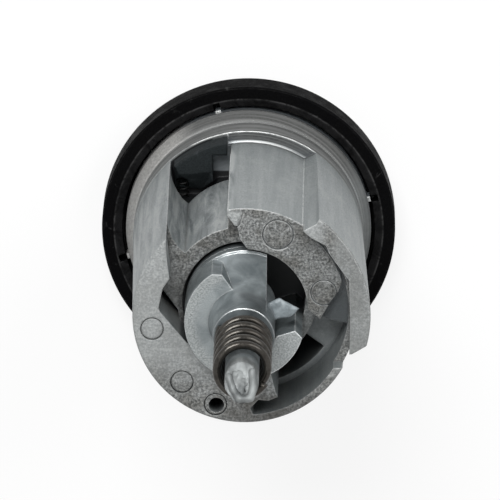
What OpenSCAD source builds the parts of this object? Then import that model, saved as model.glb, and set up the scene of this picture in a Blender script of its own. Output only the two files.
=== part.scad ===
// Ignition lock cylinder: a cast housing with a black bezel, a plug that turns in it with its
// sprung plates, and a sprung stem at the rear. Z = 0 is the bezel's front face, +Z points to the rear.

/* [Bezel] */
// Wall of the black bezel, from its rear cup to its outside
bezel_wall = 2.3; // [2:0.1:3]
// Depth of the bezel from its front face to its rear rim
bezel_depth = 4.1; // [4:0.1:4.5]
// Radial gap between the flange and the cup it sits in
cup_gap = 0.44; // [0.3:0.02:0.6]
// Number of notches in the rear rim
notch_count = 4; // [3:1:6]
// Width of a notch
notch_w = 0.8; // [0.5:0.1:1.2]

/* [Housing] */
// Radius of the plain band behind the flange
band_r = 13.05; // [12.9:0.05:13.2]
// How far the flange stands out past the band
flange_step = 0.91; // [0.7:0.01:1.1]
// Height of the step where the slot and the recess start
step_z = 9.3; // [9:0.1:9.6]
// Height of the rear end face
rear_z = 37; // [36.6:0.1:38]
// How much the casting draft takes off the radius by the rear end
draft = 0.7; // [0.6:0.05:0.8]
// Radius of the bore that the plug turns in
bore_r = 6.7; // [6.65:0.05:6.8]
// Depth of the top recess below the band
recess_depth = 1.43; // [1.3:0.01:1.6]
// Wall between the floor of the side slot and the bore
slot_wall = 1.97; // [1.9:0.01:2.1]
// How far the ring round the bore lies below the rear face
ring_drop = 5.3; // [4.8:0.1:5.6]
// How far the upper segment lies below the rear face
segment_drop = 2.4; // [2:0.1:2.8]
// How far the pad on the right stands out past the band, at the rear
pad_rise = 0.82; // [0.5:0.01:0.85]

/* [Plug] */
// Radial running gap between plug and bore
plug_gap = 0.07; // [0.05:0.01:0.1]
// How far the rear head stands above the housing's rear face
head_rise = 2.4; // [2:0.1:3]
// Radius of the stem
stem_r = 1.85; // [1.7:0.05:1.95]
// Length of the stem from the foot of its coil to the highest point of its torn end
stem_len = 17.6; // [16.6:0.1:18.6]

/* [Stem spring] */
// Wire diameter of the coil round the stem
coil_wire = 0.95; // [0.8:0.05:1]
// Mean radius of the coil round the stem
coil_r = 2.72; // [2.6:0.02:2.8]
// Number of turns
coil_turns = 5.5; // [5:0.5:6]

/* [Wafers] */
// Number of wafers
wafer_count = 8; // [8:1:8]
// Thickness of a wafer
wafer_t = 0.96; // [0.8:0.04:1]
// How far a wafer can move out into the housing's groove
wafer_throw = 0.7; // [0.5:0.05:0.7]
// Width of the key's way
key_w = 2.4; // [2:0.1:2.5]
// Height of the key's way
key_h = 8.4; // [8:0.1:8.6]

/* [Hidden] */
$fn = 96;
eps = 0.01;
slide_gap = 0.08;

// Radii of the housing and the bezel
flange_r = band_r + flange_step;
cup_r = flange_r + cup_gap;
bezel_r = cup_r + bezel_wall;
rear_r = band_r - draft;
recess_r = band_r - recess_depth;
slot_r = bore_r + slot_wall;
pad_r = band_r + pad_rise;

// Heights
web_z = 1.8;
spigot_z = 0.7;
flange_z = bezel_depth - 0.1;
cone_z = flange_z + 1.3;
shoulder_z = cone_z - 0.3;
ring_z = rear_z - ring_drop;
segment_z = rear_z - segment_drop;
channel_z = segment_z - 1.4;
groove_depth = 0.5;
head_z = rear_z + head_rise;
neck_z = head_z - 5.4;
coil_z = head_z + 5.5;
stem_top = coil_z + stem_len;

// Wider mouth of the bore, at and above the ring face
mouth_gap = 0.25;
mouth_depth = 1;

// Front end of the plug and the housing's spigot round it
cap_wall = 0.35;
cap_gap = 0.25;
counter_r = bore_r + 1.5;
cap_r = counter_r - cap_gap;
collar_r = cap_r - cap_wall - 0.05;
lip_r = counter_r + 0.15;
spigot_r = counter_r + 2.2;
collar_z = web_z - 0.2;
cap_plate = 0.5;
cap_z = collar_z - cap_plate - 0.05;
notch_turn = 14;
rim_band = 0.7;
lug_turn = -60;
lug_half = 8;
lug_h = 1.7;
turn_angle = 105;
turn_spare = 3;

// Plug: the quarter that is cut away and the cone under the coil
plug_r = bore_r - plug_gap;
void_x = 2.44;
void_y = -1.7;
void_z = neck_z - 8.4;
cone_low_r = plug_r - 0.28;
cone_high_r = coil_r + 0.63;
hollow = 0.3;
hollow_steps = 8;

// The plate that keeps the plug in the housing
keeper_t = 1;
keeper_z = neck_z - 5.5;
keeper_half = 2.1;
keeper_throw = 0.5;
keeper_groove_r = bore_r + keeper_throw;
keeper_r = keeper_groove_r - 0.15;
keeper_low = 0.6;
keeper_bore_end = 4.5;

// Height from which the right pocket is open to the bore, above the keeper plate's groove
pocket_z = keeper_z + keeper_t + 0.7;

// Wafers: the first one's middle, half its width, and its spring ear
wafer_z = shoulder_z + 2.9;
wafer_pitch = (keeper_z - 4.5 - wafer_z) / (wafer_count - 1);
wafer_half = 2.87;
wafer_r = plug_r - 0.1;
ear_x = 4.2;
ear_low = -0.9;
ear_high = 0.3;
pocket_low = -4.3;
key_end = keeper_z - 3.4;

// Dust flap behind the key slot: the plate, its pin and its spring
flap_x = -2;
flap_t = 0.5;
flap_half = key_h / 2 - 0.1;
flap_reach = key_w / 2 + 0.25;
flap_front = cap_z + cap_plate + 0.17;
barrel_r = 0.62;
flap_z = flap_front + barrel_r + 0.02;
barrel_end = 2.4;
pin_r = 0.35;
pin_half = 5.35;
flap_coil = 1.4;

// Height of the stem's coil, and the direction in which it ends
coil_h = stem_len - 5.4;
coil_end_turn = -30;

// Window latch in the front end of the slot
slot_left = -8.7;
slot_right = -1.9;
window_z = step_z + 3.6;
latch_left = -8.27;
latch_low = 6.6;
latch_r = 12.7;
latch_z = step_z + 0.1;
latch_t = 2.4;
latch_throw = 0.8;
latch_bore = 2.3;
latch_spring_x = -7.3;

wafer_names = [for (i = [1:wafer_count]) str("wafer_", i)];
spring_names = [for (i = [1:wafer_count]) str("wafer_spring_", i)];

// A wedge between two angles, from the axis out past radius r
module wedge(r, a0, a1, z0, z1) {
    mid = (a0 + a1) / 2;
    far = 2 * r;
    ring = [for (a = [a0, (a0 + mid) / 2, mid, (a1 + mid) / 2, a1]) [far * cos(a), far * sin(a)]];
    translate([0, 0, z0]) linear_extrude(z1 - z0) polygon(concat([[0, 0]], ring));
}

// A ring with a rectangular section
module tube(r_in, r_out, z0, z1) {
    difference() {
        translate([0, 0, z0]) cylinder(r = r_out, h = z1 - z0);
        translate([0, 0, z0 - 1]) cylinder(r = r_in, h = z1 - z0 + 2);
    }
}

// Part of a ring between two angles
module arc_tube(r_in, r_out, a0, a1, z0, z1) {
    intersection() {
        tube(r_in, r_out, z0, z1);
        wedge(r_out, a0, a1, z0 - 1, z1 + 1);
    }
}

// A straight prism over an outline in the XY plane
module prism(outline, z0, z1) {
    translate([0, 0, z0]) linear_extrude(z1 - z0) polygon(outline);
}

// Points of a circular arc in a section, from angle a0 to a1
function arc(cx, cy, r, a0, a1, n) =
    [for (i = [0:n]) [cx + r * cos(a0 + (a1 - a0) * i / n), cy + r * sin(a0 + (a1 - a0) * i / n)]];

// A coil of round wire along +Z, with closed flat-ish ends where the pitch falls to the wire's size
module coil(r, wire, h, turns, steps, sides) {
    n = round(turns * steps);
    rings = [for (i = [0:n])
        let (t = i / n, a = 360 * turns * t, z = wire / 2 + (h - wire) * rise(t, turns))
        [for (j = [0:sides - 1])
            let (b = 360 * j / sides, q = r + wire / 2 * cos(b))
            [q * cos(a), q * sin(a), z + wire / 2 * sin(b)]]];
    points = [for (ring = rings) for (p = ring) p];
    sidewall = [for (i = [0:n - 1]) for (j = [0:sides - 1])
        let (k = (j + 1) % sides)
        [i * sides + j, (i + 1) * sides + j, (i + 1) * sides + k, i * sides + k]];
    caps = [[for (j = [0:sides - 1]) j], [for (j = [0:sides - 1]) (n + 1) * sides - 1 - j]];
    polyhedron(points, concat(sidewall, caps), convexity = 10);
}

// Share of the height reached at share t of the wire: slower over the first and last half turn
function rise(t, turns) =
    let (e = 0.5 / turns, s = 1 / (1 - e))
    t < e ? s * t * t / (2 * e) : t > 1 - e ? 1 - s * (1 - t) * (1 - t) / (2 * e) : s * (t - e / 2);

// The band's radius for which the outlines below were taken, and an outline that follows the band
outline_r = 13.05;
function follow(outline) = [for (p = outline) p * band_r / outline_r];

// Outline of the side slot, from the recess's left edge round to the flank's sharp edge
slot_outline = [
    [slot_right, 6.5], [slot_right, 16], [-8.75, 16], [slot_left, 9.3], [-8.35, 8.1],
    [-7.9, 7.1], [-7.3, 6.2], [-6.5, 5.5], [-5.6, 4.9]];

// Outline of the low ring face on the left of the bore
ring_outline = [
    [0, 0], [0.4, 5], [0.3, 7], [-0.5, 8.1], [-0.78, 9.4], [-1.1, 9.4], [slot_right - 0.05, 10.8],
    [slot_right - 0.05, 16], [-8.7, 16],
    [-8.6, 7.4], [-8.4, 5.43], [-8.24, 4.28], [-9, 3.12], [-9.47, 0.85], [-9.3, 0.47],
    [-6.35, -3.11], [-4, -4]];

// Outline of the segment above the bore, out to the raised pad
segment_outline = [
    [-0.9, 0], [-0.9, 7], [slot_right - 0.1, 7], [slot_right - 0.1, 16], [7.95, 16], [6.41, 9.81],
    [7.3, 9.0], [8.95, 8.1], [9.3, 7.2], [10.4, 5.6], [11.5, 4.1], [11.6, 0], [11.5, -6], [0, -6]];

// Outline and slant of the small lip between the recess's rear edge and the ring
lip_slant = 20;
lip_outline = [
    [slot_right - 1, 8.1], [-0.5, 8.1], [-0.8, 9.4], [-0.5, 9.75], [-0.1, 11.4], [slot_right - 1, 11.6]];

// Outline of the deep pocket left of the bore
left_pocket_outline = [
    [-9.1, 1.35], [-9.47, 0.85], [-9.3, 0.47], [-6.3, -3.17], [-5, -3.6], [-6.2, -2.66]];

// Outline of the right pocket: from the segment's end round to the stub at its lower left end
pocket_outline = [
    [6, 0.8], [8.3, -1.1], [9.4, -1.6], [16, -3], [16, -16], [1.2, -16], [1.1, -11.8], [0.6, -10.7],
    [1.5, -9.7], [2.6, -9.8], [3.65, -9.35], [3.4, -8.8], [2.95, -7], [2.4, -5]];

// Outline of the shallow channel between the segment's free end and the raised pad
channel_outline = [
    [8.3, -1.1], [9.3, 0.7], [10.3, 2.1], [10.7, 3.4], [10.5, 4.2], [10, 5.2], [10.2, 5.6],
    [16, 3], [16, -3.1], [9.4, -1.7]];

// Outline of the raised pad: from its slanting lower end round to its upper end
pad_outline = [
    [0, 0], [10, -4.5], [11.8, -4.4], [13.5, -3.4], [20, -3.2], [20, 20], [13, 20]];

// The housing's outer body before anything is cut from it
module housing_body() {
    rotate_extrude() polygon([
        [0, spigot_z], [spigot_r, spigot_z], [spigot_r, web_z], [flange_r - 0.2, web_z],
        [flange_r, web_z + 0.2], [flange_r, flange_z], [band_r + 0.05, cone_z],
        [band_r - 0.2, cone_z + 0.15], [band_r - 0.2, cone_z + 0.4], [band_r, cone_z + 0.55],
        [band_r, step_z], [band_r - 0.1, step_z + 0.1], [rear_r, rear_z - 0.15],
        [rear_r - 0.15, rear_z], [0, rear_z]]);
    intersection() {
        rotate_extrude() polygon([
            [0, step_z], [band_r, step_z], [pad_r, rear_z - 0.15], [pad_r - 0.15, rear_z], [0, rear_z]]);
        prism(follow(pad_outline), step_z, rear_z);
    }
    for (i = [0:notch_count - 1]) rotate(notch_turn + 90 + i * 360 / notch_count)
        translate([flange_r - 0.5, -0.3, web_z + 0.3]) cube([0.8, 0.6, 1.7]);
}

// The chamber that the window latch slides in
module window_chamber() {
    low = latch_low - latch_throw - 0.15;
    prism(follow([[latch_left - slide_gap, low], [-5, low], [-3.4, 7.6], [slot_right - 0.1, 7.7],
        [slot_right - 0.1, 14], [latch_left - slide_gap, 14]]), step_z, window_z);
}

module housing_cuts() {
    // Bore, its wider rear end, and the counterbore for the collar and cap
    translate([0, 0, -1]) cylinder(r = bore_r, h = rear_z + 2);
    translate([0, 0, ring_z - mouth_depth]) cylinder(r = bore_r + mouth_gap, h = rear_z);
    translate([0, 0, spigot_z - 1]) cylinder(r = counter_r, h = shoulder_z - spigot_z + 1);
    arc_tube(bore_r - 1, counter_r, lug_turn - lug_half - turn_spare,
        lug_turn + turn_angle + lug_half + turn_spare, shoulder_z - eps, shoulder_z + lug_h + 0.2);
    // Grooves that the wafers move out into, and the ring groove of the keeper plate
    intersection() {
        translate([0, 0, shoulder_z - eps])
            cylinder(r = wafer_r + wafer_throw + 0.15, h = key_end - shoulder_z);
        translate([-wafer_half - 0.2, -counter_r, 0]) cube([2 * wafer_half + 0.4, 2 * counter_r, key_end]);
    }
    tube(bore_r - 1, keeper_groove_r, keeper_z - 0.2, keeper_z + keeper_t + 0.2);
    // Top recess with its drafted front wall and its sloping right wall
    intersection() {
        rotate_extrude() polygon([
            [recess_r, step_z - 0.7], [recess_r + 4, step_z + 1.2], [recess_r + 4, rear_z + 1],
            [recess_r, rear_z + 1]]);
        prism(follow([[slot_right - 0.3, 4], [slot_right - 0.3, 20], [14, 20], [7.85, 10.55], [6.37, 9.72],
            [4, 5]]), step_z - 1, rear_z + 2);
    }
    // Side slot over its round floor, and the latch's chamber at its front end
    difference() {
        prism(follow(slot_outline), step_z, rear_z + 1);
        translate([0, 0, step_z - 1]) cylinder(r = slot_r, h = rear_z);
    }
    window_chamber();
    // Rear levels: the low ring face, the segment, and the slanting lip beside its left end
    prism(follow(ring_outline), ring_z, rear_z + 1);
    intersection() {
        translate([0, 0, segment_z]) cylinder(r = recess_r + 2, h = rear_z);
        prism(follow(segment_outline), segment_z, rear_z + 1);
    }
    intersection() {
        translate([slot_right - 1, recess_r - 0.2, segment_z]) rotate([lip_slant, 0, 0])
            translate([0, -4, 0]) cube([4, 4, 4]);
        prism(follow(lip_outline), ring_z, rear_z);
    }
    // Deep pockets
    difference() {
        prism(follow(left_pocket_outline), 14, rear_z + 1);
        translate([0, 0, 10]) cylinder(r = 7.5, h = rear_z);
    }
    right_pocket();
    ejector_marks();
}

// The pocket that runs round the lower right of the bore, in two depths
module right_pocket() {
    intersection() {
        tube(bore_r + 1.25, recess_r - 0.15, 28, rear_z + 1);
        prism(follow(pocket_outline), 20, rear_z + 1);
    }
    intersection() {
        tube(bore_r + 1.25, recess_r - 0.85, 13, rear_z + 1);
        prism(follow(pocket_outline), 12, rear_z + 1);
        wedge(band_r, -85, -36, 12, rear_z + 1);
    }
    intersection() {
        translate([0, 0, pocket_z]) cylinder(r = recess_r - 0.15, h = rear_z);
        prism(follow(pocket_outline), pocket_z, rear_z + 1);
    }
    // The channel beside the segment's free end, and the thin groove that it narrows to
    intersection() {
        translate([0, 0, channel_z]) cylinder(r = recess_r - 0.15, h = rear_z);
        prism(follow(channel_outline), channel_z, rear_z + 1);
    }
    arc_tube(recess_r - 0.42, recess_r + 0.02, 14, 50, segment_z - groove_depth, rear_z + 1);
}

// Shallow round ejector marks, each with a fine groove round it
marks_outer = [[-10.19, -1.5], [-6.92, -7.63], [-3.23, -10.23]];
marks_inner = [[3.67, 8.63, 1.75], [8.7, 1.95, 1.5]];
mark_r = 1.3;
mark_depth = 0.12;
mark_groove = 0.13;

module ejector_mark(x, y, z, r) {
    translate([x, y, z]) {
        translate([0, 0, -mark_depth]) cylinder(r = r, h = 2);
        tube(r - mark_groove, r, -mark_depth - 0.2, 1);
    }
}

// The marks on the rear face and on the segment, and the cored hole in the last of the outer ones
module ejector_marks() {
    for (p = follow(marks_outer)) ejector_mark(p[0], p[1], rear_z, mark_r);
    for (m = marks_inner) {
        place = follow([[m[0], m[1]]])[0];
        ejector_mark(place[0], place[1], segment_z, m[2]);
    }
    hole = follow([[-3.14, -10.35]])[0];
    translate([hole[0], hole[1], rear_z - 6]) cylinder(r = 0.86, h = 8);
}

module housing() {
    color("#8f9698") difference() {
        housing_body();
        housing_cuts();
    }
}

// Black bezel: a lipped front web and a cup round the flange
module bezel() {
    color("#161719") difference() {
        rotate_extrude() polygon(concat(
            [[lip_r, spigot_z], [lip_r, 0.5], [9.5, 0]],
            arc(bezel_r - 0.35, 0.35, 0.35, -90, 0, 4),
            [[bezel_r, bezel_depth - 0.15], [bezel_r - 0.15, bezel_depth],
            [cup_r + rim_band, bezel_depth], [cup_r, bezel_depth - 0.35],
            [cup_r, web_z], [spigot_r + 0.03, web_z], [spigot_r + 0.03, spigot_z]]));
        for (i = [0:notch_count - 1]) rotate(notch_turn + 90 + i * 360 / notch_count)
            translate([cup_r - 0.5, -notch_w / 2, web_z + 0.4]) cube([1.3, notch_w, bezel_depth]);
    }
}

// The slot of one wafer with the pocket of its spring, on the +X side
module wafer_slot(z) {
    t = wafer_t / 2 + slide_gap;
    translate([-wafer_half - slide_gap, -plug_r - 1, z - t])
        cube([2 * (wafer_half + slide_gap), 2 * (plug_r + 1), 2 * t]);
    translate([wafer_half - 0.5, pocket_low, z - t])
        cube([ear_x + slide_gap - wafer_half + 0.5, ear_high + wafer_throw + 0.15 - pocket_low, 2 * t]);
}

// Turns the even wafers round so that they move the other way
function wafer_turn(i) = i % 2 == 0 ? 180 : 0;
function wafer_height(i) = wafer_z + wafer_pitch * (i - 1);

module wafer(i) {
    bitting = [0.4, -0.3, 0.1, 0.5, -0.4, 0.2, -0.1, 0.3][(i - 1) % 8];
    z = wafer_height(i);
    color("#b79a5a") rotate(wafer_turn(i)) difference() {
        union() {
            intersection() {
                translate([-wafer_half, -plug_r, z - wafer_t / 2])
                    cube([2 * wafer_half, 2 * plug_r, wafer_t]);
                translate([0, 0, z - 1]) cylinder(r = wafer_r, h = 2);
            }
            translate([wafer_half - 0.5, ear_low, z - wafer_t / 2])
                cube([ear_x - wafer_half + 0.5, ear_high - ear_low, wafer_t]);
        }
        translate([-key_w / 2 - 0.25, bitting - 3.3, z - 1]) cube([key_w + 0.5, 6.6, 2]);
    }
}

module wafer_spring(i) {
    length = ear_low - pocket_low - 0.02;
    color("#9aa0a4") rotate(wafer_turn(i))
        translate([(wafer_half + ear_x) / 2 + 0.12, pocket_low + 0.01, wafer_height(i)])
        rotate([-90, 0, 0]) coil(0.38, 0.16, length, 6, 10, 5);
}

// The head at the rear of the plug: a hollow cone with a collar round its lower and left side
module plug_head() {
    width = cone_low_r - cone_high_r;
    height = coil_z - neck_z;
    side = [for (i = [0:hollow_steps]) let (t = i / hollow_steps)
        [cone_low_r - width * (t + hollow * sin(180 * t)), neck_z + height * t]];
    rotate_extrude() polygon(concat([[0, neck_z - eps], [cone_low_r, neck_z - eps]], side, [[0, coil_z]]));
    intersection() {
        translate([0, 0, neck_z - 1]) cylinder(r = plug_r - 0.05, h = head_z - neck_z + 1);
        prism([[-4, 5.55], [-2.45, 5.5], [-1.24, 3.78], [-0.6, 3], [2, 0], [3.26, -1.64], [5.57, -0.94],
            [6.5, -1.9], [9, -4], [9, -9], [-9, -9], [-9, 5.55]], neck_z - 1, head_z);
    }
}

// The torn end of the stem: a slanting break, one corner gone, and a folded rim round a hollow
module stem_end() {
    difference() {
        translate([0, 0, coil_z - 1]) cylinder(r = stem_r, h = stem_len + 0.7, $fn = 48);
        translate([-5, stem_r - 0.15, stem_top - 3.4]) rotate([-39, 0, 0])
            translate([0, -9, 0]) cube([10, 12, 9]);
        translate([-1.3, -1.15, stem_top - 5]) rotate([0, 0, 131]) translate([-5, 0, 0]) cube([10, 5, 9]);
        translate([-0.25, 0.1, stem_top - 1.9]) rotate([-39, 0, 26]) cube([0.5, 2.4, 0.9], center = true);
    }
    rim = [[1.15, 0.9, -2.9], [1.3, -0.4, -1.75], [0.95, -1.4, -0.85], [-0.2, -1.45, -0.8],
        [-0.9, -0.7, -1.55], [-1.35, 0.4, -2.5]];
    for (i = [0:len(rim) - 2]) hull() for (k = [i, i + 1])
        translate([rim[k][0], rim[k][1], stem_top + rim[k][2]])
            sphere(r = 0.42 + 0.04 * (k % 2), $fn = 14);
}

module plug() {
    keeper_slot = keeper_half + slide_gap;
    color("#9ba2a5") {
        difference() {
            union() {
                translate([0, 0, collar_z]) cylinder(r = plug_r, h = neck_z - collar_z);
                translate([0, 0, collar_z]) cylinder(r = collar_r, h = shoulder_z - 0.1 - collar_z);
                arc_tube(plug_r - 1, counter_r - cap_gap, lug_turn - lug_half, lug_turn + lug_half,
                    shoulder_z - 0.2, shoulder_z + lug_h);
                plug_head();
            }
            // Key's way, wafer slots, and the dust flap's room
            translate([-key_w / 2, -key_h / 2, 0]) cube([key_w, key_h, key_end]);
            for (i = [1:wafer_count]) rotate(wafer_turn(i)) wafer_slot(wafer_height(i));
            translate([flap_x - 0.9, -flap_half - 0.6, 0])
                cube([flap_reach + 0.15 - flap_x + 0.9, 2 * flap_half + 1.2, flap_z + 1.6]);
            translate([flap_x - 0.9, -flap_half - 0.6, 0])
                cube([0.9 - flap_x - key_w / 2 + 0.2, 2 * flap_half + 1.2, flap_z + 4.3]);
            translate([flap_x, 0, flap_z]) rotate([90, 0, 0])
                cylinder(r = pin_r + 0.01, h = 2 * pin_half + 0.1, center = true, $fn = 32);
            // Keeper plate's slot and the hole of its spring
            translate([-keeper_slot, -plug_r - 1, keeper_z - slide_gap])
                cube([2 * keeper_slot, plug_r + 1.1 + keeper_throw - keeper_low, keeper_t + 2 * slide_gap]);
            translate([0, -1, keeper_z + keeper_t / 2]) rotate([-90, 0, 0])
                cylinder(r = 0.75, h = 1 + keeper_bore_end, $fn = 32);
            // The quarter that is cut away, and a fine turned groove above the mouth of the bore
            prism([[void_x, void_y + 0.1], [void_x, 12], [12, 12], [12, -2], [6.5, -1.9], [5.57, -0.94],
                [3.26, -1.64], [2.9, -1.2]], void_z, coil_z + 1);
            tube(plug_r - 0.12, plug_r + 1, ring_z + 0.9, ring_z + 1.15);
        }
        translate([0, 0, neck_z - 1.5]) cylinder(r = cone_high_r + 0.05, h = coil_z - neck_z + 1.5);
        stem_end();
    }
}

module plug_cap() {
    color("#b9bdbf") difference() {
        translate([0, 0, cap_z]) cylinder(r = cap_r, h = cap_plate + shoulder_z - collar_z - 0.7);
        translate([0, 0, cap_z + cap_plate]) cylinder(r = cap_r - cap_wall, h = shoulder_z);
        translate([-key_w / 2 - 0.1, -key_h / 2 - 0.2, 0]) cube([key_w + 0.2, key_h + 0.4, shoulder_z]);
    }
}

module shutter() {
    color("#a9adb0") difference() {
        union() {
            translate([flap_x, -flap_half, flap_front]) cube([flap_reach - flap_x, 2 * flap_half, flap_t]);
            translate([flap_x, barrel_end, flap_z]) rotate([90, 0, 0])
                cylinder(r = barrel_r, h = flap_half + barrel_end, $fn = 32);
        }
        translate([flap_x, 0, flap_z]) rotate([90, 0, 0])
            cylinder(r = pin_r + 0.05, h = 3 * flap_half, center = true, $fn = 32);
        translate([flap_x - 1, barrel_end, 0]) cube([1.9, flap_half, shoulder_z]);
    }
}

module shutter_pin() {
    color("#c8ccce") translate([flap_x, 0, flap_z]) rotate([90, 0, 0])
        cylinder(r = pin_r, h = 2 * pin_half, center = true, $fn = 32);
}

module shutter_spring() {
    color("#9aa0a4") translate([flap_x, barrel_end + 0.15, flap_z]) rotate([-90, 0, 0])
        coil(pin_r + 0.17, 0.2, flap_coil, 4, 12, 6);
}

module plug_keeper() {
    color("#b79a5a") intersection() {
        translate([-keeper_half, -keeper_r - 1, keeper_z])
            cube([2 * keeper_half, keeper_r + 1 - keeper_low, keeper_t]);
        translate([0, 0, keeper_z - 1]) cylinder(r = keeper_r, h = keeper_t + 2);
    }
}

module keeper_spring() {
    color("#9aa0a4") translate([0, 0.02 - keeper_low, keeper_z + keeper_t / 2]) rotate([-90, 0, 0])
        coil(0.55, 0.2, keeper_low + keeper_bore_end - 0.05, 7, 10, 5);
}

// Points of the latch's round outer side
latch_arc = arc(0, 0, latch_r, 130.6, 100.3, 6);

module window_latch() {
    color("#26282b") difference() {
        prism(follow(concat([[latch_left, latch_low], [latch_left, 9.6]], latch_arc,
            [[-2.27, 10.9], [-3.9, 10.9], [-3.9, 7.9], [-5.1, latch_low]])), latch_z, latch_z + latch_t);
        translate(concat(follow([[latch_spring_x, latch_low - 1]])[0], latch_z + latch_t / 2))
            rotate([-90, 0, 0]) cylinder(r = 0.75, h = latch_bore + 1, $fn = 32);
    }
}

module latch_spring() {
    low = latch_low - latch_throw - 0.14;
    color("#9aa0a4") translate(concat(follow([[latch_spring_x, low]])[0], latch_z + latch_t / 2))
        rotate([-90, 0, 0]) coil(0.6, 0.2, latch_low + latch_bore - low - 0.01, 5, 12, 6);
}

module stem_spring() {
    color("#6f675f") translate([0, 0, coil_z]) rotate(coil_end_turn - 360 * coil_turns)
        coil(coil_r, coil_wire, coil_h, coil_turns, 24, 8);
}

housing();
bezel();
plug();
plug_cap();
shutter();
shutter_pin();
shutter_spring();
plug_keeper();
keeper_spring();
window_latch();
latch_spring();
stem_spring();
for (i = [1:wafer_count]) {
    wafer(i);
    wafer_spring(i);
}
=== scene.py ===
"""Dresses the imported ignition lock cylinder: materials, fine surface forms, camera and light."""

import math

import bmesh
import bpy
from mathutils import Matrix, Vector, noise


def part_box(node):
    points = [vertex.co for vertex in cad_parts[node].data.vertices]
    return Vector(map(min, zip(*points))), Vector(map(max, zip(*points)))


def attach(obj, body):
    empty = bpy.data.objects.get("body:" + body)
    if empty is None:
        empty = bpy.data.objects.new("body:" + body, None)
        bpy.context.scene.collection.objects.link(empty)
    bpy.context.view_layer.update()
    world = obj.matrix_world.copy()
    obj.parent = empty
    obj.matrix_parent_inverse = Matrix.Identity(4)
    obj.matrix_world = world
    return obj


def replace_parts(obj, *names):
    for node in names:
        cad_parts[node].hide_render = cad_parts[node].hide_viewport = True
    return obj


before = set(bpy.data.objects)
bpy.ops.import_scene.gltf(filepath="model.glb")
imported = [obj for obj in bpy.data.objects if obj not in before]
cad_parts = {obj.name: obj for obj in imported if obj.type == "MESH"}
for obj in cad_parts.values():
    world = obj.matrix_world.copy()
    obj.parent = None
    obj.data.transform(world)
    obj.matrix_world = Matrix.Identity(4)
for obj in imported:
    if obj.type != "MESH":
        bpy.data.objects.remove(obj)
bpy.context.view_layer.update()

MM = 0.001

scene = bpy.context.scene
scene.view_settings.view_transform = "Standard"

# The camera as the photo has it: seen from the rear end, tipped up from the axis, this many metres off
TILT_DEG = 17.0
TURN_DEG = 2.6
CAMERA_DISTANCE = 0.915
FOCAL_PX = 8000.0
IMAGE_PX = 500.0
AXIS_PX = (249.0, 217.8)


def photo_camera():
    """Looks back along the tipped axis, then turns until the part's axis meets AXIS_PX in the picture."""
    tilt, turn = math.radians(TILT_DEG), math.radians(TURN_DEG)
    back = Vector((math.sin(tilt) * math.sin(turn), math.sin(tilt) * math.cos(turn), math.cos(tilt)))
    upright = Vector((0, 0, 1)).rotation_difference(back).to_matrix()
    right, up = upright @ Vector((1, 0, 0)), upright @ Vector((0, 1, 0))
    across = IMAGE_PX / 2 - AXIS_PX[0]
    down = IMAGE_PX / 2 - AXIS_PX[1]
    look = (right * across - up * down - back * FOCAL_PX).normalized()
    side = look.cross(up).normalized()
    top = side.cross(look)
    data = bpy.data.cameras.new("photo_camera")
    data.sensor_width = 36
    data.lens = FOCAL_PX / IMAGE_PX * data.sensor_width
    data.clip_start, data.clip_end = 0.05, 10
    camera = bpy.data.objects.new("photo_camera", data)
    facing = Matrix((side, top, -look)).transposed().to_4x4()
    camera.matrix_world = Matrix.Translation(back * CAMERA_DISTANCE) @ facing
    scene.collection.objects.link(camera)
    bpy.context.scene.camera = camera


photo_camera()


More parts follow.
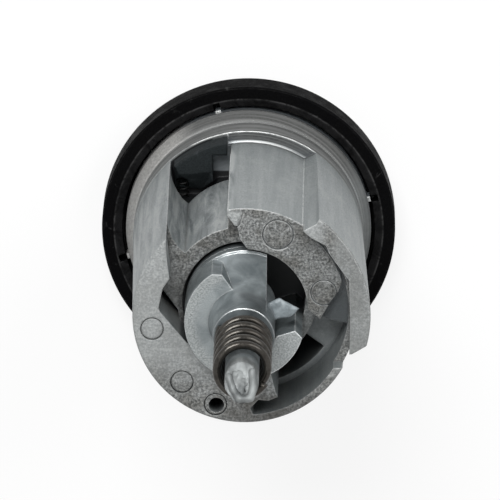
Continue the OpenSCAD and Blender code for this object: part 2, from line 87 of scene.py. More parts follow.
class Finish:
    """A node-built material. Each call adds nodes and returns an output socket."""

    def __init__(self, name):
        self.material = bpy.data.materials.new(name)
        self.material.use_nodes = True
        self.tree = self.material.node_tree
        self.shader = self.tree.nodes["Principled BSDF"]
        coords = self.add("TexCoord")
        self.place = coords.outputs["Object"]
        self.across, self.up, self.height = self.add("SeparateXYZ", {0: self.place}).outputs
        self.facing = self.add("SeparateXYZ", {0: coords.outputs["Normal"]}).outputs["Z"]
        flat = self.add("VectorMath", {0: self.place, 1: (1, 1, 0)}, operation="MULTIPLY")
        self.radius = self.add("VectorMath", {0: flat.outputs[0]}, operation="LENGTH").outputs["Value"]

    def add(self, kind, sockets=None, **settings):
        """Adds a node with its settings. A socket takes a number, a vector or another node's output."""
        node = self.tree.nodes.new("ShaderNode" + kind)
        for key, value in settings.items():
            setattr(node, key, value)
        for key, value in (sockets or {}).items():
            if isinstance(value, bpy.types.NodeSocket):
                self.tree.links.new(value, node.inputs[key])
            else:
                node.inputs[key].default_value = value
        return node

    def calc(self, operation, a, b=0.0):
        """One step of arithmetic on outputs or numbers."""
        return self.add("Math", {0: a, 1: b}, operation=operation).outputs[0]

    def both(self, *masks):
        """The product of masks or shares: 1 only where all of them are."""
        product = masks[0]
        for mask in masks[1:]:
            product = self.calc("MULTIPLY", product, mask)
        return product

    def between(self, value, low, high, out_low=0.0, out_high=1.0):
        """Runs smoothly from one output to the other as the value runs from low to high."""
        sockets = {"Value": value, "From Min": low, "From Max": high,
                   "To Min": out_low, "To Max": out_high}
        return self.add("MapRange", sockets, interpolation_type="SMOOTHSTEP").outputs[0]

    def ramp(self, place, start_mm, end_mm, out_start=0.0, out_end=1.0):
        """As between, for a place on the part in millimetres. The end may be the lower one."""
        return self.between(place, start_mm * MM, end_mm * MM, out_start, out_end)

    def fade(self, mask, left):
        """1 where the mask is 0, and the share left where it is 1."""
        return self.between(mask, 0.0, 1.0, 1.0, left)

    def line(self, place, at_mm, out_mm, in_mm):
        """A thin line round a place: 1 within in_mm of it and 0 beyond out_mm."""
        away = self.calc("ABSOLUTE", self.calc("SUBTRACT", place, at_mm * MM))
        return self.ramp(away, out_mm, in_mm)

    def noise(self, per_metre, detail=4.0, roughness=0.55, stretch=(1, 1, 1), warp=0.0):
        """Noise in space, drawn out along an axis whose stretch is below 1."""
        spread = self.add("Mapping", {"Vector": self.place, "Scale": stretch})
        sockets = {"Vector": spread.outputs[0], "Scale": per_metre, "Detail": detail,
                   "Roughness": roughness, "Distortion": warp}
        return self.add("TexNoise", sockets).outputs["Fac"]

    def rings(self, per_metre, detail=3.0):
        """Noise that runs round the axis, as a turned or brushed face shows it."""
        around = self.add("CombineXYZ", {"X": self.radius, "Y": self.height, "Z": 0.0})
        sway = self.add("VectorMath", {0: self.place, 1: (0.02, 0.02, 0.0)}, operation="MULTIPLY")
        path = self.add("VectorMath", {0: around.outputs[0], 1: sway.outputs[0]}, operation="ADD")
        sockets = {"Vector": path.outputs[0], "Scale": per_metre, "Detail": detail}
        return self.add("TexNoise", sockets).outputs["Fac"]

    def blend(self, share, a, b, kind="MIX"):
        """From colour a at share 0 to colour b at share 1."""
        node = self.add("Mix", data_type="RGBA", blend_type=kind)
        for key, value in ((0, share), (6, a), (7, b)):
            if isinstance(value, bpy.types.NodeSocket):
                self.tree.links.new(value, node.inputs[key])
            else:
                node.inputs[key].default_value = value if key == 0 else (*value, 1)
        return node.outputs[2]

    def shades(self, value, *stops):
        """A colour for each position of the value, given as (position, colour)."""
        ramp = self.add("ValToRGB", {0: value})
        elements = ramp.color_ramp.elements
        for i, (position, colour) in enumerate(stops):
            element = elements[i] if i < 2 else elements.new(position)
            element.position = position
            element.color = (*colour, 1)
        return ramp.outputs[0]

    def sharp_edge(self, width_mm):
        """1 on sharp edges, 0 on flat and gently curved faces, and the softened normal."""
        soft = self.add("Bevel", {"Radius": width_mm * MM}, samples=6).outputs[0]
        hard = self.add("NewGeometry").outputs["Normal"]
        along = self.add("VectorMath", {0: soft, 1: hard}, operation="DOT_PRODUCT").outputs["Value"]
        return self.between(along, 0.965, 0.85), soft

    def open_air(self, reach_mm, low=0.35, high=0.95):
        """1 in the open and 0 deep in a corner or a pocket."""
        seen = self.add("AmbientOcclusion", {"Distance": reach_mm * MM}, samples=8).outputs["AO"]
        return self.between(seen, low, high)

    def surface(self, colour, roughness, metallic, grain, grain_mm, normal=None):
        """Wires the shader up. The grain's height is in millimetres."""
        bump = self.add("Bump", {"Strength": 1.0, "Distance": grain_mm * MM, "Height": grain})
        if normal is not None:
            self.tree.links.new(normal, bump.inputs["Normal"])
        for key, value in (("Base Color", colour), ("Roughness", roughness),
                           ("Normal", bump.outputs[0])):
            self.tree.links.new(value, self.shader.inputs[key])
        self.shader.inputs["Metallic"].default_value = metallic
        return self.material


# Where one finish, painted shade or painted highlight gives way to another on the castings, in millimetres:
# each pair runs from where the new one starts to where it is full. Heights are from the driver's face, and
# radii from the axis.
FLANGE = (5.6, 5.0)
PALE_FLANGE = (6.2, 5.6)
BAND = (9.6, 9.1)
BURR_GLINT_HEIGHT = 8.68
BURR_GLINT_RADIUS = (11.95, 11.80)
SLOT_RADIUS = (12.6, 12.1)
CHAMBER_FRONT = (9.1, 9.3)
CHAMBER_REAR = (12.92, 12.86)
CHAMBER_RADIUS = (12.85, 12.80)
WINDOW_LEVEL = (13.5, 13.0)
POCKET_DEPTH = (30, 26)
REAR_FACES = (29, 31)
CHANNEL = (34.2, 33.8)
LIP = (34.7, 34.4)
TOP_FACE = (35.5, 36.2)
BORE_RADIUS = (7.6, 7.3)
BARREL_SEEN = (22.5, 24.5)
BARREL = (33.5, 30.0)
HEAD_FRONT = (38.5, 39.2)
HEAD_REAR = (40.2, 39.6)
TORN_END = (56, 58)


def drawn_sides(f, fine, blotch):
    """The housing's flanks and recess: streaks along the draw, and scrapes in the slot and on the left."""
    streak = f.noise(1500, 4, 0.6, stretch=(1, 1, 0.05))
    colour = f.shades(streak, (0.34, (0.185, 0.203, 0.206)), (0.52, (0.222, 0.240, 0.242)),
                      (0.70, (0.262, 0.278, 0.278)))
    colour = f.blend(f.between(fine, 0.35, 0.65, 0.0, 0.4), colour, (0.165, 0.180, 0.184))
    colour = f.blend(f.between(blotch, 0.5, 0.68, 0.0, 0.3), colour, (0.30, 0.315, 0.31))
    scrape = f.noise(760, 5, 0.62, stretch=(1, 1, 0.16), warp=0.5)
    in_slot = f.both(f.ramp(f.radius, *SLOT_RADIUS), f.ramp(f.across, -1.0, -1.6), f.ramp(f.up, 2, 4))
    scraped = f.calc("MAXIMUM", in_slot, f.ramp(f.across, -6.5, -8.5, 0.0, 0.5))
    scraped = f.both(scraped, f.between(scrape, 0.47, 0.53, 0.9, 0.7))
    scrapes = f.shades(scrape, (0.38, (0.105, 0.119, 0.124)), (0.5, (0.225, 0.243, 0.245)),
                       (0.62, (0.36, 0.375, 0.372)))
    return f.blend(scraped, colour, scrapes)


def grainy_rear(f, grain, blotch):
    """The housing's rear faces: coarse grain and scars, paler on the highest level, darker and browner low
    down.
    """
    scar = f.noise(1100, 5, 0.7, stretch=(0.25, 1, 1), warp=1.4)
    skin = f.shades(grain, (0.36, (0.045, 0.048, 0.048)), (0.5, (0.165, 0.172, 0.170)),
                    (0.64, (0.34, 0.35, 0.347)))
    skin = f.blend(f.between(scar, 0.56, 0.66, 0.0, 0.6), skin, (0.055, 0.055, 0.052))
    skin = f.blend(f.between(scar, 0.42, 0.34, 0.0, 0.5), skin, (0.37, 0.38, 0.375))
    tone = f.shades(blotch, (0.36, (0.66, 0.64, 0.61)), (0.60, (1.1, 1.1, 1.1)))
    skin = f.blend(1.0, skin, tone, "MULTIPLY")
    top = f.ramp(f.height, *TOP_FACE)
    pale = f.both(top, f.ramp(f.up, -10, -4), f.ramp(f.across, 9.5, 7.5, 0.15, 1.0))
    skin = f.blend(f.both(pale, 0.5), skin, (0.42, 0.44, 0.44))
    pad = f.both(top, f.ramp(f.across, 9.2, 10.5))
    skin = f.blend(f.both(pad, 0.5), skin, (0.245, 0.257, 0.255))
    low_down = f.both(f.ramp(f.up, -8.5, -11.5), f.ramp(f.across, -6, 1))
    return f.blend(f.both(low_down, 0.55), skin, (0.075, 0.072, 0.066))


def brown_film(f, fine):
    """The film on the turned band behind the flange, darkest on the flange itself."""
    brown = f.shades(f.rings(3000), (0.36, (0.060, 0.061, 0.059)), (0.5, (0.125, 0.128, 0.126)),
                     (0.64, (0.25, 0.254, 0.25)))
    brown = f.blend(f.between(fine, 0.35, 0.7, 0.0, 0.5), brown, (0.24, 0.25, 0.25))
    flange = f.ramp(f.height, *FLANGE)
    return f.blend(f.both(flange, 0.5), brown, (0.045, 0.045, 0.043))


def pocket_walls(f, pale_flange):
    """Painted light and shade for what lies deep in the housing: paler near the rear, in the left pocket,
    at the window's level and on the left of the flange, darker further in, and black in a pit low down and
    in the bore.
    """
    walls = f.blend(f.ramp(f.height, *POCKET_DEPTH), (0.44, 0.465, 0.48), (0.12, 0.13, 0.135))
    walls = f.blend(f.ramp(f.across, -5.0, -6.2), walls, (0.30, 0.305, 0.30))
    pit = f.both(f.ramp(f.across, 6.2, 2.8), f.ramp(f.up, -6.5, -8.5))
    walls = f.blend(pit, walls, (0.015, 0.016, 0.017))
    walls = f.blend(f.ramp(f.height, *WINDOW_LEVEL), walls, (0.24, 0.27, 0.295))
    walls = f.blend(pale_flange, walls, (0.44, 0.435, 0.42))
    return f.blend(f.ramp(f.radius, *BORE_RADIUS), walls, (0.02, 0.022, 0.024))


def window_chamber(f):
    """1 on the walls of the latch's chamber, where black is painted as shade, and 0 on the pale ledge
    beside the latch.
    """
    deep = f.both(f.ramp(f.height, *CHAMBER_REAR), f.ramp(f.height, *CHAMBER_FRONT))
    inner = f.both(f.ramp(f.radius, *CHAMBER_RADIUS), f.ramp(f.up, 4.8, 5.2))
    wide = f.both(f.ramp(f.across, -8.8, -8.5), f.ramp(f.across, -1.8, -1.9))
    ledge = f.both(f.between(f.facing, 0.4, 0.6), f.ramp(f.across, -4.1, -3.8), f.ramp(f.up, 8.3, 8.5))
    return f.both(deep, inner, wide, f.calc("SUBTRACT", 1.0, ledge))


def housing_edges(f, edge, corner, rear):
    """Painted highlight on sharp edges, weaker in corners, on the rear faces, to the left, low down and
    beside the recess's right wall, and a painted highlight along the burred edge in front of the slot.
    """
    uneven = f.between(f.noise(1500), 0.35, 0.55, 0.35, 1.0)
    # Painted highlight, dimmed to the left and low down
    dimmer_left_and_low = f.both(f.ramp(f.across, -7.0, -5.5, 0.22, 1.0), f.ramp(f.up, -1, 3, 0.4, 1.0))
    beside = f.both(f.ramp(f.across, 6.9, 7.2), f.ramp(f.across, 8.6, 8.3),
                    f.between(f.facing, 0.5, 0.4), f.ramp(f.up, 8.5, 9.5))
    edge = f.both(edge, corner, uneven, dimmer_left_and_low, f.fade(rear, 0.45), f.fade(beside, 0.12))
    # Painted highlight: a thin line along the burred edge in front of the slot
    burr_glint = f.both(f.line(f.height, BURR_GLINT_HEIGHT, 0.20, 0.06), f.ramp(f.radius, *BURR_GLINT_RADIUS))
    return f.calc("MAXIMUM", edge, f.both(burr_glint, f.ramp(f.across, 8, 1, 0.25, 0.9)))


def cast_housing():
    """Die-cast zinc: smooth drawn flanks, grainy rear faces and a browned band, with painted shade in the
    corners, painted light and shade in the pockets, and painted highlights on the edges.
    """
    f = Finish("cast_housing")
    fine = f.noise(5200, 5, 0.65)
    grain = f.noise(3900, 5, 0.7)
    blotch = f.noise(420, 4, 0.6)
    rear = f.both(f.between(f.facing, 0.45, 0.75), f.ramp(f.height, *REAR_FACES))
    colour = f.blend(rear, drawn_sides(f, fine, blotch), grainy_rear(f, grain, blotch))
    # Painted highlight: the lip at the rear edge of the recess is painted pale
    lip = f.both(f.ramp(f.up, 9.0, 9.4), f.ramp(f.height, *LIP), f.ramp(f.across, -0.1, -0.4),
                 rear, f.between(f.facing, 0.985, 0.96))
    lip_highlight = f.shades(grain, (0.35, (0.30, 0.315, 0.315)), (0.65, (0.72, 0.74, 0.73)))
    colour = f.blend(lip, colour, lip_highlight)
    browned = f.calc("MAXIMUM", f.ramp(f.up, 1, 9, 0.12, 1.0), f.ramp(f.across, 2, 8, 0.0, 0.55))
    colour = f.blend(f.both(f.ramp(f.height, *BAND), browned), colour, brown_film(f, fine))
    # Painted light: the left of the flange, in shade beside the bezel, is painted paler
    pale_flange = f.both(f.ramp(f.height, *PALE_FLANGE), f.ramp(f.across, -5.5, -9.0))
    pale = f.shades(grain, (0.35, (0.26, 0.258, 0.25)), (0.65, (0.46, 0.455, 0.44)))
    colour = f.blend(f.both(pale_flange, 0.8), colour, pale)
    # Painted shade: the channel at the right of the rear faces is painted dark
    channel = f.both(f.ramp(f.across, 8.2, 8.6), f.ramp(f.height, *CHANNEL), rear)
    colour = f.blend(channel, colour, (0.070, 0.079, 0.083))
    speck = f.between(f.noise(2600, 3, 0.7), 0.66, 0.74)
    colour = f.blend(f.both(speck, 0.5), colour, (0.04, 0.04, 0.039))
    # Painted shade: the colour darkens in corners and creases
    corner = f.open_air(0.7, 0.45, 0.85)
    colour = f.blend(corner, f.blend(0.6, colour, (0.020, 0.021, 0.021)), colour)
    edge, soft = f.sharp_edge(0.28)
    edge = housing_edges(f, edge, corner, rear)
    # Painted highlight: sharp edges painted nearly white
    colour = f.blend(edge, colour, (0.90, 0.92, 0.91))
    # Painted light and shade: in the pockets the colour gives way to the painted tones of pocket_walls
    pocket_light_and_shade = f.blend(0.85, colour, pocket_walls(f, pale_flange))
    colour = f.blend(f.open_air(6.0, 0.0, 0.38), pocket_light_and_shade, colour)
    # Painted shade: the walls of the latch's chamber are painted black
    colour = f.blend(window_chamber(f), colour, (0.008, 0.009, 0.010))
    matt = f.calc("ADD", f.between(fine, 0.3, 0.7, 0.42, 0.6), f.both(rear, 0.1))
    matt = f.calc("SUBTRACT", matt, f.both(edge, 0.2))
    relief = f.both(fine, f.calc("ADD", f.both(rear, 0.8), 0.2))
    return f.surface(colour, matt, 0.35, relief, 0.07, soft)


def cast_plug():
    """The same alloy: bluish and smooth on the cone, grainy on the head, dull and creased where torn, with
    painted shade in corners, near the coil, below the head and deep inside, and painted highlights on the
    edges.
    """
    f = Finish("cast_plug")
    fine = f.noise(5200, 5, 0.62)
    cloud = f.noise(330, 4, 0.55, warp=0.6)
    level = f.between(f.facing, 0.85, 0.97)
    head = f.both(level, f.ramp(f.height, *HEAD_FRONT), f.ramp(f.height, *HEAD_REAR))
    torn = f.ramp(f.height, *TORN_END)
    smooth = f.shades(cloud, (0.34, (0.105, 0.123, 0.130)), (0.5, (0.17, 0.193, 0.20)),
                      (0.68, (0.27, 0.30, 0.31)))
    face = f.shades(fine, (0.34, (0.17, 0.185, 0.186)), (0.52, (0.30, 0.32, 0.32)),
                    (0.70, (0.44, 0.46, 0.46)))
    rubbed = f.shades(cloud, (0.36, (0.17, 0.193, 0.20)), (0.6, (0.27, 0.295, 0.30)))
    grained = f.calc("MAXIMUM", f.ramp(f.radius, 4.7, 6.0), f.ramp(f.across, 0, 1))
    colour = f.blend(head, smooth, f.blend(grained, rubbed, face))
    # Painted shade: the cone is painted dark on its right, next to the coil
    sway = f.between(cloud, 0.3, 0.7, -1 * MM, 1 * MM)
    shade_by_coil = f.both(f.ramp(f.height, 39.2, 41.0), f.ramp(f.height, 47.5, 45.5),
                  f.ramp(f.calc("ADD", f.across, sway), -1.0, 0.8))
    colour = f.blend(f.both(shade_by_coil, 0.72), colour, (0.030, 0.036, 0.039))
    crease = f.noise(560, 3, 0.5, stretch=(1, 0.5, 0.5), warp=0.5)
    tip = f.shades(crease, (0.38, (0.075, 0.082, 0.083)), (0.48, (0.15, 0.16, 0.16)),
                   (0.62, (0.235, 0.25, 0.25)))
    colour = f.blend(torn, colour, tip)
    # Painted shade: the colour darkens in corners and creases
    corner = f.open_air(0.6, 0.45, 0.85)
    colour = f.blend(corner, f.blend(0.55, colour, (0.020, 0.022, 0.023)), colour)
    edge, soft = f.sharp_edge(0.26)
    uneven = f.between(f.noise(1300), 0.35, 0.55, 0.35, 1.0)
    head_rim = f.both(f.ramp(f.height, 38.0, 38.4), f.ramp(f.height, 40.2, 39.8),
                      f.ramp(f.across, 1.0, -2.6))
    cone_rim = f.both(f.ramp(f.height, 42.5, 43.0), f.ramp(f.up, 3.2, 1.6))
    dimmed_rims = f.calc("MAXIMUM", head_rim, cone_rim)
    edge = f.both(edge, corner, uneven, f.fade(torn, 0.3), f.fade(dimmed_rims, 0.35))
    # Painted highlight: sharp edges painted nearly white, dimmed on the torn end and on the head's and
    # cone's rims
    colour = f.blend(edge, colour, (0.90, 0.93, 0.93))
    # Painted shade: below the head the plug's body is painted dark, darkest from BARREL_SEEN up towards the
    # head
    barrel = f.shades(cloud, (0.36, (0.060, 0.066, 0.067)), (0.62, (0.125, 0.134, 0.135)))
    barrel = f.blend(f.ramp(f.height, *BARREL_SEEN), barrel, (0.012, 0.014, 0.015))
    colour = f.blend(f.ramp(f.height, *BARREL), colour, barrel)
    # Painted shade: deep inside, the colour goes nearly black
    colour = f.blend(f.open_air(4.0, 0.03, 0.42), f.blend(0.7, colour, (0.010, 0.012, 0.013)), colour)
    matt = f.calc("ADD", f.between(fine, 0.3, 0.7, 0.30, 0.46), f.both(head, 0.16))
    matt = f.calc("ADD", matt, f.both(torn, 0.12))
    matt = f.calc("SUBTRACT", matt, f.both(edge, 0.15))
    relief = f.both(fine, f.calc("ADD", f.both(head, 0.8), 0.15))
    return f.surface(colour, matt, 0.4, relief, 0.07, soft)


def black_plastic(name, base, scuff, scuff_from, gloss, dusty_rim=None):
    """Moulded plastic with a fine grain, scuffs and rubbed edges, and dust between two radii behind."""
    f = Finish(name)
    grain = f.noise(6500, 4, 0.6)
    rub = f.noise(520, 5, 0.7, warp=1.2)
    colour = f.shades(grain, (0.3, [c * 0.7 for c in base]), (0.7, [c * 1.5 for c in base]))
    colour = f.blend(f.both(f.between(rub, scuff_from, scuff_from + 0.1), 0.5), colour, scuff)
    if dusty_rim:
        inner, outer = dusty_rim
        back = f.between(f.facing, 0.5, 0.9)
        dust = f.both(f.ramp(f.radius, inner - 0.3, inner), f.ramp(f.radius, outer, outer - 0.1),
                      f.between(rub, 0.35, 0.6, 0.3, 1.0), back)
        colour = f.blend(dust, colour, (0.013, 0.013, 0.0135))
        line = f.both(f.line(f.radius, outer, 0.13, 0.03), f.between(rub, 0.4, 0.6, 0.15, 0.8), back)
        colour = f.blend(line, colour, (0.05, 0.05, 0.05))
    edge, soft = f.sharp_edge(0.25)
    colour = f.blend(f.both(edge, f.between(rub, 0.42, 0.62, 0.05, 0.6)), colour, scuff)
    matt = f.between(rub, 0.35, 0.65, 0.42, 0.6)
    f.shader.inputs["Specular IOR Level"].default_value = gloss
    return f.surface(colour, matt, 0.0, grain, 0.03, soft)


def drawn_metal(name, dark, mid, light, matt, per_metre=2200.0, stretch=(1, 1, 1)):
    """Wire, sheet or pin metal, with drawn lines, stains and a slightly uneven gloss."""
    f = Finish(name)
    line = f.noise(per_metre, 4, 0.6, stretch=stretch)
    stain = f.noise(380, 4, 0.6)
    colour = f.shades(line, (0.34, dark), (0.5, mid), (0.68, light))
    colour = f.blend(f.between(stain, 0.52, 0.7, 0.0, 0.55), colour, [c * 0.45 for c in mid])
    edge, soft = f.sharp_edge(0.12)
    # Painted highlight: sharp edges painted in the light tone
    colour = f.blend(f.both(edge, 0.5), colour, light)
    roughness = f.between(line, 0.3, 0.7, matt - 0.08, matt + 0.1)
    return f.surface(colour, roughness, 0.9, line, 0.02, soft)


def coil_steel():
    """Dark oiled spring wire, browner in places, with painted shade between the turns."""
    f = Finish("coil_steel")
    line = f.noise(2400, 4, 0.6)
    stain = f.noise(300, 3, 0.55)
    colour = f.shades(line, (0.34, (0.026, 0.024, 0.021)), (0.66, (0.060, 0.056, 0.049)))
    colour = f.blend(f.between(stain, 0.45, 0.65, 0.0, 0.6), colour, (0.026, 0.022, 0.018))
    # Painted shade: the wire darkens between the turns
    colour = f.blend(f.open_air(0.9, 0.25, 0.75), (0.012, 0.011, 0.010), colour)
    return f.surface(colour, f.between(line, 0.3, 0.7, 0.13, 0.24), 0.75, line, 0.010)


def old_grease():
    """Hardened grease: pale blue-grey, wet on its ridges and dull in its hollows."""
    f = Finish("old_grease")
    cloud = f.noise(900, 5, 0.6, warp=0.8)
    colour = f.shades(cloud, (0.32, (0.12, 0.14, 0.15)), (0.5, (0.19, 0.22, 0.235)),
                      (0.7, (0.27, 0.305, 0.32)))
    return f.surface(colour, f.between(cloud, 0.35, 0.65, 0.35, 0.5), 0.1, cloud, 0.05)


# A rolled sheet's lines run one way, so its noise is stretched that way
CAP_LINES = (900, (1, 0.05, 1))
WAFER_LINES = (1400, (0.1, 1, 1))

FINISHES = {
    "housing": cast_housing(),
    "plug": cast_plug(),
    "bezel": black_plastic("bezel_plastic", (0.0026, 0.0026, 0.0028), (0.05, 0.05, 0.05), 0.62, 0.012,
                           (14.4, 15.3)),
    "window_latch": black_plastic("latch_plastic", (0.014, 0.017, 0.018), (0.05, 0.055, 0.06), 0.56, 0.08),
    "stem_spring": coil_steel(),
    "plug_cap": drawn_metal("cap_steel", (0.36, 0.37, 0.37), (0.50, 0.51, 0.51), (0.62, 0.63, 0.62),
                            0.3, *CAP_LINES),
    "shutter": drawn_metal("shutter_steel", (0.30, 0.31, 0.31), (0.42, 0.43, 0.43), (0.55, 0.56, 0.55),
                           0.36, *CAP_LINES),
    "brass": drawn_metal("wafer_brass", (0.36, 0.27, 0.11), (0.52, 0.39, 0.17), (0.66, 0.52, 0.25),
                         0.32, *WAFER_LINES),
    # Painted shade: the latch's spring is painted black, so that it reads as shade in its chamber
    "latch_spring": drawn_metal("wire_in_painted_shade", (0.008, 0.008, 0.008), (0.015, 0.015, 0.015),
                                (0.03, 0.03, 0.03), 0.45),
    "wire": drawn_metal("spring_wire", (0.26, 0.26, 0.26), (0.40, 0.40, 0.40), (0.55, 0.55, 0.54), 0.3),
    "grease": old_grease(),
}


def finish_of(name):
    """A node's own finish, or plain wire for springs and pins, and brass for wafers and the keeper."""
    if name in FINISHES:
        return FINISHES[name]
    if "spring" in name or "pin" in name:
        return FINISHES["wire"]
    return FINISHES["brass"]


for name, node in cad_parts.items():
    node.data.materials.clear()
    node.data.materials.append(finish_of(name))


def shell(name, mesh, finish, body):
    """A piece of the scene with smooth faces and the given finish, riding a body."""
    for face in mesh.polygons:
        face.use_smooth = True
    piece = bpy.data.objects.new(name, mesh)
    scene.collection.objects.link(piece)
    mesh.materials.append(FINISHES[finish])
    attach(piece, body)
    return piece


# The coil round the stem, with the CAD's size and more sides than a solid needs
COIL_WIRE = 0.95 * MM
COIL_TURNS = 5.5
COIL_END_DEG = -30
COIL_STEPS = 44
COIL_SIDES = 18


def coil_rise(share):
    """Share of the height at a share of the wire: slower over the first and last half turn."""
    closed = 0.5 / COIL_TURNS
    slope = 1 / (1 - closed)
    if share < closed:
        return slope * share * share / (2 * closed)
    if share > 1 - closed:
        return 1 - slope * (1 - share) ** 2 / (2 * closed)
    return slope * (share - closed / 2)


def stem_coil():
    """The stem's spring: a ring of points swept up a helix, with flat ends."""
    low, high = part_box("stem_spring")
    mean_r = max(abs(c) for c in (low[0], low[1], high[0], high[1])) - COIL_WIRE / 2
    rise = high[2] - low[2] - COIL_WIRE
    count = round(COIL_TURNS * COIL_STEPS)
    points, faces = [], []
    for i in range(count + 1):
        share = i / count
        turn = math.radians(COIL_END_DEG + 360 * COIL_TURNS * (share - 1))
        middle = low[2] + COIL_WIRE / 2 + rise * coil_rise(share)
        for j in range(COIL_SIDES):
            side = 2 * math.pi * j / COIL_SIDES
            r = mean_r + COIL_WIRE / 2 * math.cos(side)
            points.append((r * math.cos(turn), r * math.sin(turn), middle + COIL_WIRE / 2 * math.sin(side)))
    for i in range(count):
        for j in range(COIL_SIDES):
            a, b = i * COIL_SIDES + j, i * COIL_SIDES + (j + 1) % COIL_SIDES
            faces.append((a, b, b + COIL_SIDES, a + COIL_SIDES))
    faces.append(tuple(range(COIL_SIDES))[::-1])
    faces.append(tuple(count * COIL_SIDES + j for j in range(COIL_SIDES)))
    mesh = bpy.data.meshes.new("stem_coil")
    mesh.from_pydata(points, [], faces)
    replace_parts(shell("stem_coil", mesh, "stem_spring", "plug_body"), "stem_spring")


# The crumpled metal in the stem's slanting break: its middle below the tip, its half sizes across, along
# and out of the slant, and its folds as (how many, how deep, where the noise is read)
TORN_SLANT_DEG = -39
TORN_BELOW_TIP = 1.95
TORN_FORWARD = -0.1
TORN_HALF = (1.3, 1.75, 0.42)
TORN_FOLDS = ((1.3, 0.35, (3.1, 0.4, 1.7)), (3.2, 0.16, (0.3, 5.2, 2.9)))
CREASE_FINER = 1.7
CREASE_SHARE = 0.7


def torn_end():
    """A ball of mesh squashed into the break, swollen and creased by noise."""
    slant = math.radians(TORN_SLANT_DEG)
    along = (0, math.cos(slant), math.sin(slant))
    out = (0, -math.sin(slant), math.cos(slant))
    axes = Matrix(((1, 0, 0), along, out)).transposed()
    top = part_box("plug")[1][2] / MM
    middle = Vector((0.0, TORN_FORWARD, top - TORN_BELOW_TIP)) * MM
    work = bmesh.new()
    bmesh.ops.create_icosphere(work, subdivisions=5, radius=1)
    for vertex in work.verts:
        way = vertex.co.copy()
        push = 1.0
        for count, depth, drift in TORN_FOLDS:
            push += depth * noise.noise(way * count + Vector(drift))
            crease = abs(noise.noise(way * count * CREASE_FINER - Vector(drift)))
            push -= crease * depth * CREASE_SHARE
        local = Vector([way[k] * TORN_HALF[k] * push for k in range(3)]) * MM
        vertex.co = axes @ local + middle
    mesh = bpy.data.meshes.new("torn_fold")
    work.to_mesh(mesh)
    work.free()
    shell("torn_fold", mesh, "plug", "plug_body")


# The grease flake's outline at the height of its middle, and how it domes towards its centre
FLAKE_OUTLINE = [(2.55, 2.1), (3.3, 2.5), (3.9, 2.7), (4.45, 2.3), (5.2, 1.95), (6.1, 1.47), (5.65, 0.95),
                 (5.0, 0.5), (4.05, 0.35), (3.0, 0.1), (2.45, 0.6), (2.4, 1.4)]
FLAKE_BELOW_TIP = 23.3
FLAKE_LEVELS = [(0.55, -0.42), (0.92, -0.30), (1.0, -0.05), (0.94, 0.12), (0.70, 0.27), (0.35, 0.36)]
# Its lumps as (how many in a millimetre, how high in millimetres)
FLAKE_LUMPS = ((1.1, 0.10), (4.0, 0.04))


def grease():
    """The flake of old grease that bridges the plug's missing quarter: a domed crust, torn all round."""
    middle_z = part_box("plug")[1][2] / MM - FLAKE_BELOW_TIP
    count = len(FLAKE_OUTLINE)
    centre = Vector([sum(p[k] for p in FLAKE_OUTLINE) / count for k in range(2)])
    points = []
    for share, lift in FLAKE_LEVELS:
        for p in FLAKE_OUTLINE:
            x, y = centre + (Vector(p) - centre) * share
            points.append(Vector((x, y, middle_z + lift)) * MM)
    faces = []
    for level in range(len(FLAKE_LEVELS) - 1):
        for j in range(count):
            a, b = level * count + j, level * count + (j + 1) % count
            faces.append((a, b, b + count, a + count))
    faces.append(tuple(range(count))[::-1])
    faces.append(tuple(range(len(points) - count, len(points))))
    work = bmesh.new()
    corners = [work.verts.new(p) for p in points]
    for face in faces:
        work.faces.new([corners[i] for i in face])
    bmesh.ops.subdivide_edges(work, edges=work.edges[:], cuts=3, use_grid_fill=True, smooth=0.6)
    work.normal_update()
    for vertex in work.verts:
        way = vertex.co / MM
        lump = sum(rise * noise.noise(way * often) for often, rise in FLAKE_LUMPS)
        vertex.co += vertex.normal * MM * lump
    mesh = bpy.data.meshes.new("grease_flake")
    work.to_mesh(mesh)
    work.free()
    shell("grease_flake", mesh, "grease", "plug_body")


def latch_arc(radius):
    """Points of the latch's round outer side."""
    turns = [math.radians(130.6 - 5.05 * i) for i in range(7)]
    return [(radius * math.cos(turn), radius * math.sin(turn)) for turn in turns]


# The latch's outline as the CAD has it, the smaller face that looks to the rear, and how far below that
# face each point's slope ends. All are in millimetres, and so is the bore of its spring.
LATCH_OUTLINE = ([(-8.27, 6.6), (-8.27, 9.6)] + latch_arc(12.7) +
                 [(-2.27, 10.9), (-3.9, 10.9), (-3.9, 7.9), (-5.1, 6.6)])
LATCH_FACE = ([(-7.7, 8.7), (-8.05, 9.4)] + latch_arc(12.56) +
              [(-2.42, 11.04), (-4.04, 11.04), (-3.95, 9.1), (-5.9, 8.8)])
LATCH_DROP = [1.9, 0.6] + [0.12] * 10 + [1.4, 2.0]
LATCH_ROUND = 0.12
BORE_AT = (-7.3, 6.6)
BORE_WIDE = 0.75
BORE_DEEP = 2.3


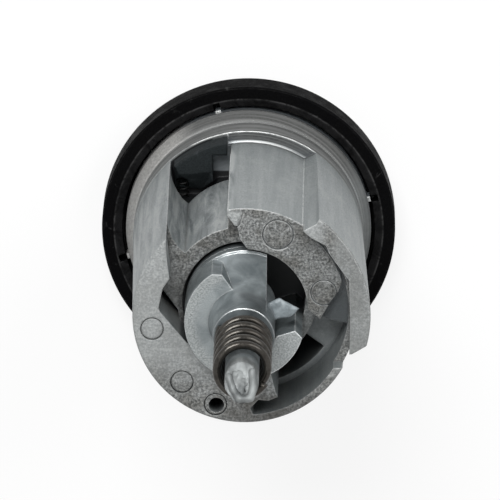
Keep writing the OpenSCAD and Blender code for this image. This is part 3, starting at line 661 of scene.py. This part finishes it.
def latch():
    """The window latch with its sloping lower sides, soft edges and the bore of its spring."""
    low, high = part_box("window_latch")
    bottom, top = low[2] / MM, high[2] / MM
    count = len(LATCH_OUTLINE)
    rings = [[(x, y, bottom) for x, y in LATCH_OUTLINE],
             [(x, y, top - drop) for (x, y), drop in zip(LATCH_OUTLINE, LATCH_DROP)],
             [(x, y, top) for x, y in LATCH_FACE]]
    work = bmesh.new()
    corners = [[work.verts.new(Vector(p) * MM) for p in ring] for ring in rings]
    for lower, upper in zip(corners, corners[1:]):
        for j in range(count):
            k = (j + 1) % count
            work.faces.new((lower[j], lower[k], upper[k], upper[j]))
    work.faces.new(corners[0][::-1])
    work.faces.new(corners[-1])
    bmesh.ops.recalc_face_normals(work, faces=work.faces[:])
    mesh = bpy.data.meshes.new("latch_solid")
    work.to_mesh(mesh)
    work.free()
    solid = bpy.data.objects.new("latch_solid", mesh)
    drill_mesh = bpy.data.meshes.new("latch_drill")
    drill = bmesh.new()
    middle = Vector((*BORE_AT, (bottom + top) / 2)) * MM
    place = Matrix.Translation(middle) @ Matrix.Rotation(math.pi / 2, 4, "X")
    bmesh.ops.create_cone(drill, cap_ends=True, segments=32, radius1=BORE_WIDE * MM,
                          radius2=BORE_WIDE * MM, depth=2 * BORE_DEEP * MM, matrix=place)
    drill.to_mesh(drill_mesh)
    drill.free()
    cutter = bpy.data.objects.new("latch_drill", drill_mesh)
    for thing in (solid, cutter):
        scene.collection.objects.link(thing)
    cut = solid.modifiers.new("bore", "BOOLEAN")
    cut.operation, cut.solver, cut.object = "DIFFERENCE", "EXACT", cutter
    round_off = solid.modifiers.new("edges", "BEVEL")
    round_off.width, round_off.segments, round_off.limit_method = LATCH_ROUND * MM, 3, "ANGLE"
    bpy.context.view_layer.update()
    ready = bpy.data.meshes.new_from_object(solid.evaluated_get(bpy.context.evaluated_depsgraph_get()))
    for thing in (solid, cutter):
        bpy.data.objects.remove(thing)
    piece = shell("latch_skin", ready, "window_latch", "latch")
    for face in ready.polygons:
        face.use_smooth = False
    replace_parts(piece, "window_latch")


latch()
stem_coil()
torn_end()
grease()


# The floor reaches this many metres each way, this many millimetres below the part
FLOOR_HALF = 2.0
FLOOR_BELOW = 0.2
# The share of plain white in what the camera and reflections see of the floor. The rest keeps the shadow.
FLOOR_WHITE = 0.82
# The world lights the object at this strength, and looks white wherever it is seen itself
WORLD_LIGHT = 0.42


def seen_directly(tree):
    """1 for camera rays and for rays that a reflection or a clear material sends on, and 0 for light."""
    path = tree.nodes.new("ShaderNodeLightPath")
    seen = path.outputs["Is Camera Ray"]
    for kind in ("Is Glossy Ray", "Is Transmission Ray"):
        larger = tree.nodes.new("ShaderNodeMath")
        larger.operation = "MAXIMUM"
        tree.links.new(seen, larger.inputs[0])
        tree.links.new(path.outputs[kind], larger.inputs[1])
        seen = larger.outputs[0]
    return seen


def floor():
    """A pale floor that keeps the shadow and shows as white to the camera and in reflections."""
    corners = [(-1, -1), (1, -1), (1, 1), (-1, 1)]
    mesh = bpy.data.meshes.new("floor")
    mesh.from_pydata([(x * FLOOR_HALF, y * FLOOR_HALF, -FLOOR_BELOW * MM) for x, y in corners], [],
                     [(0, 1, 2, 3)])
    plane = bpy.data.objects.new("floor", mesh)
    scene.collection.objects.link(plane)
    f = Finish("floor_white")
    pale = f.shades(f.noise(3, 2), (0.0, (0.88, 0.88, 0.88)), (1.0, (0.92, 0.92, 0.92)))
    f.tree.links.new(pale, f.shader.inputs["Base Color"])
    f.shader.inputs["Roughness"].default_value = 0.9
    share = f.both(seen_directly(f.tree), FLOOR_WHITE)
    glow = f.add("Emission")
    mix = f.add("MixShader", {0: share, 1: f.shader.outputs[0], 2: glow.outputs[0]})
    f.tree.links.new(mix.outputs[0], f.tree.nodes["Material Output"].inputs[0])
    mesh.materials.append(f.material)


def studio_world():
    """A flat white world, dimmer as a light than as what is seen."""
    world = bpy.data.worlds.new("studio")
    scene.world = world
    world.use_nodes = True
    tree = world.node_tree
    background = tree.nodes["Background"]
    background.inputs["Color"].default_value = (1, 1, 1, 1)
    strength = tree.nodes.new("ShaderNodeMapRange")
    strength.inputs["To Min"].default_value = WORLD_LIGHT
    tree.links.new(seen_directly(tree), strength.inputs["Value"])
    tree.links.new(strength.outputs[0], background.inputs["Strength"])


def soft_lamp(name, where, side, power):
    """A square area lamp that looks at the middle of the housing."""
    data = bpy.data.lights.new(name, "AREA")
    data.shape = "SQUARE"
    data.size = side
    data.energy = power
    lamp = bpy.data.objects.new(name, data)
    lamp.location = where
    way = Vector((0, 0, 30 * MM)) - Vector(where)
    lamp.rotation_euler = way.to_track_quat("-Z", "Y").to_euler()
    scene.collection.objects.link(lamp)


floor()
studio_world()
soft_lamp("key", (-0.10, 0.38, 0.48), 0.28, 3.0)
soft_lamp("fill", (0.38, 0.30, 0.42), 0.30, 1.2)
